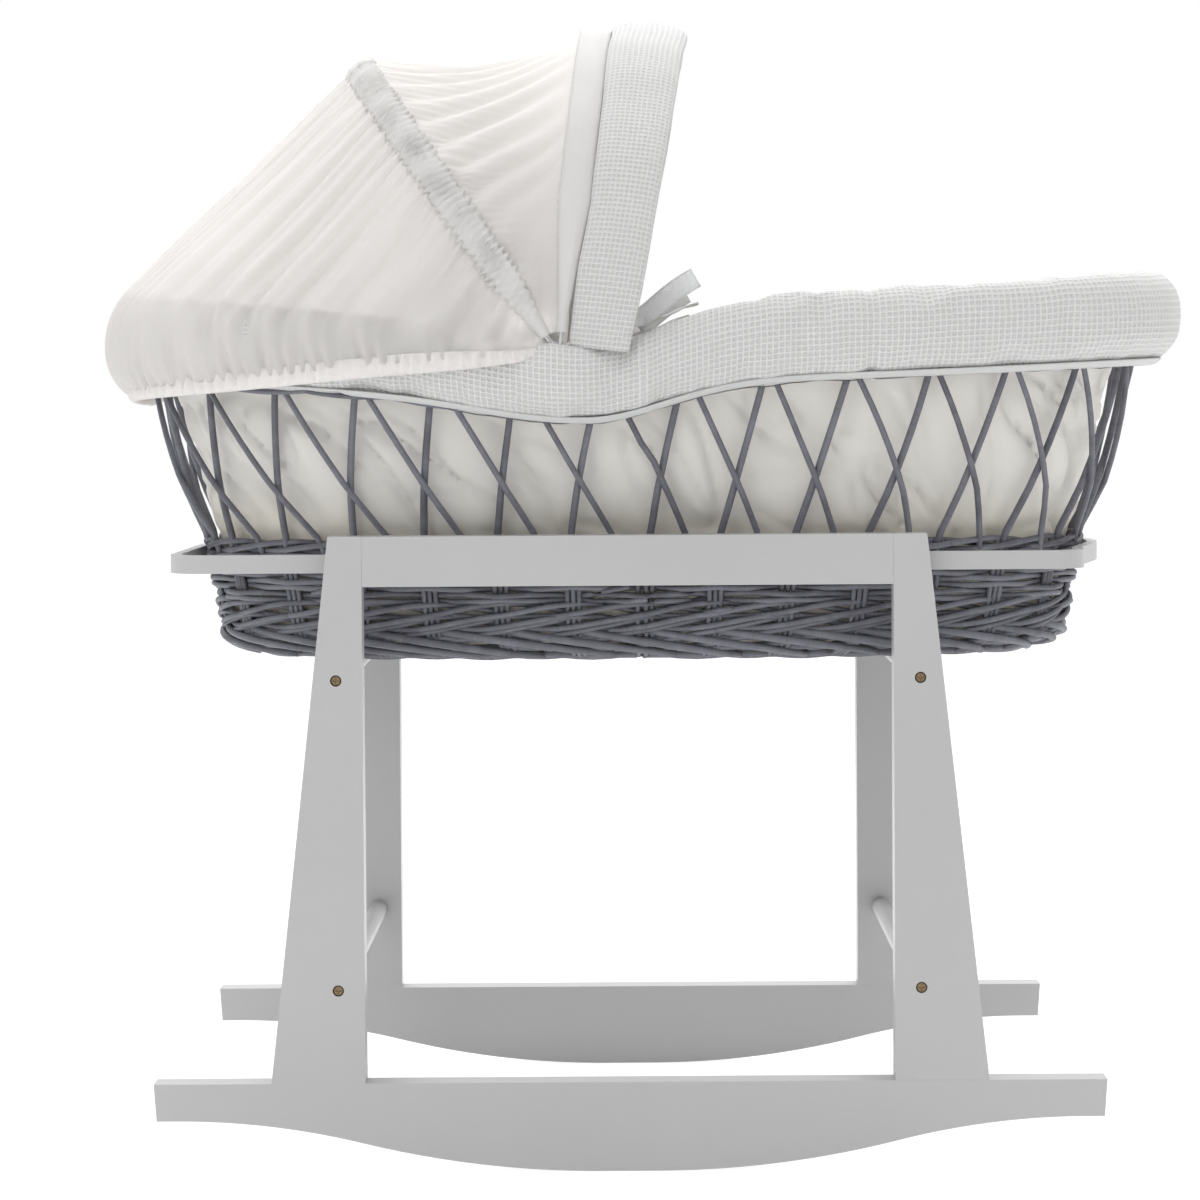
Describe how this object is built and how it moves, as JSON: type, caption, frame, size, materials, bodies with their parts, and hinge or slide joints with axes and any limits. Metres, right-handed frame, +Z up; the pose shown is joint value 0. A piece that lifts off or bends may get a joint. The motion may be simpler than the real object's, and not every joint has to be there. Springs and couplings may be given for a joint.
{
  "type": "bassinet on stand",
  "caption": "Oval grey wicker bassinet with a padded rim, mattress and folding fabric hood, resting on the cross dowels of a white rocking stand.",
  "frame": {"origin": "on the floor, under the middle of the basket", "axes": "+X towards the foot end, -Y the front, with the hood at -X, +Z up"},
  "size_m": [0.8588, 0.4852, 0.8828],
  "materials": {
    "white_paint": "white satin paint on wood",
    "bronze_screw": "bronze-plated, cross-slotted",
    "beech_peg": "bare beech",
    "grey_wicker": "painted willow, matt blue-grey",
    "cream_liner": "plain cotton, cream",
    "waffle_cloth": "white waffle-weave cotton over padding",
    "grey_hem": "plain light grey cotton",
    "foam": "polyurethane foam",
    "mattress_cloth": "quilted cotton",
    "steel_wire": "plated steel",
    "hood_cloth": "thin white cotton, slightly translucent",
    "channel_cloth": "white cotton tape",
    "grey_ribbon": "grey cotton ribbon"
  },
  "bodies": {
    "stand": {"front_rocker": "white_paint", "rear_rocker": "white_paint", "front_head_leg": "white_paint", "front_foot_leg": "white_paint", "rear_head_leg": "white_paint", "rear_foot_leg": "white_paint", "front_top_rail": "white_paint", "rear_top_rail": "white_paint", "head_upper_dowel": "white_paint", "foot_upper_dowel": "white_paint", "head_lower_dowel": "white_paint", "foot_lower_dowel": "white_paint", "head_end_hoop": "white_paint", "foot_end_hoop": "white_paint", "dowel_screws": "bronze_screw", "hoop_screws": "bronze_screw", "rocker_pegs": "beech_peg", "rail_pegs": "beech_peg"},
    "basket": {"basket_base": "grey_wicker", "lower_weave": "grey_wicker", "outer_rods": "grey_wicker", "inner_rods": "grey_wicker", "rim_hoop": "grey_wicker", "liner_wall": "cream_liner", "liner_floor": "cream_liner", "rim_cover": "waffle_cloth", "rim_hem": "grey_hem", "mattress_foam": "foam", "mattress_cover": "mattress_cloth", "hinge_plates": "steel_wire", "pivot_pins": "steel_wire", "rear_canopy": "hood_cloth", "hood_hem": "hood_cloth", "near_tie": "grey_ribbon", "far_tie": "grey_ribbon"},
    "mid_bow": {"mid_hoop": "steel_wire", "mid_eyes": "steel_wire", "mid_channel": "hood_cloth", "front_canopy": "hood_cloth"},
    "front_bow": {"front_hoop": "steel_wire", "front_eyes": "steel_wire", "front_channel": "channel_cloth", "hood_trim": "waffle_cloth"}
  },
  "joints": [
    {"name": "basket_lift", "type": "slide", "parent": "stand", "child": "basket", "axis": [0, 0, 1], "range_m": [0, 0.15]},
    {"name": "mid_hoop_pivot", "type": "hinge", "parent": "basket", "child": "mid_bow", "pos_m": [-0.063, 0, 0.6158], "axis": [0, -1, 0], "range_deg": [0, 33], "deforming": ["rear_canopy"]},
    {"name": "front_hoop_pivot", "type": "hinge", "parent": "mid_bow", "child": "front_bow", "pos_m": [-0.063, 0, 0.6158], "axis": [0, -1, 0], "range_deg": [0, 27], "deforming": ["front_canopy"]}
  ],
  "couplings": [
    {"joint": "front_hoop_pivot", "follows": "mid_hoop_pivot", "ratio": 0.818}
  ]
}
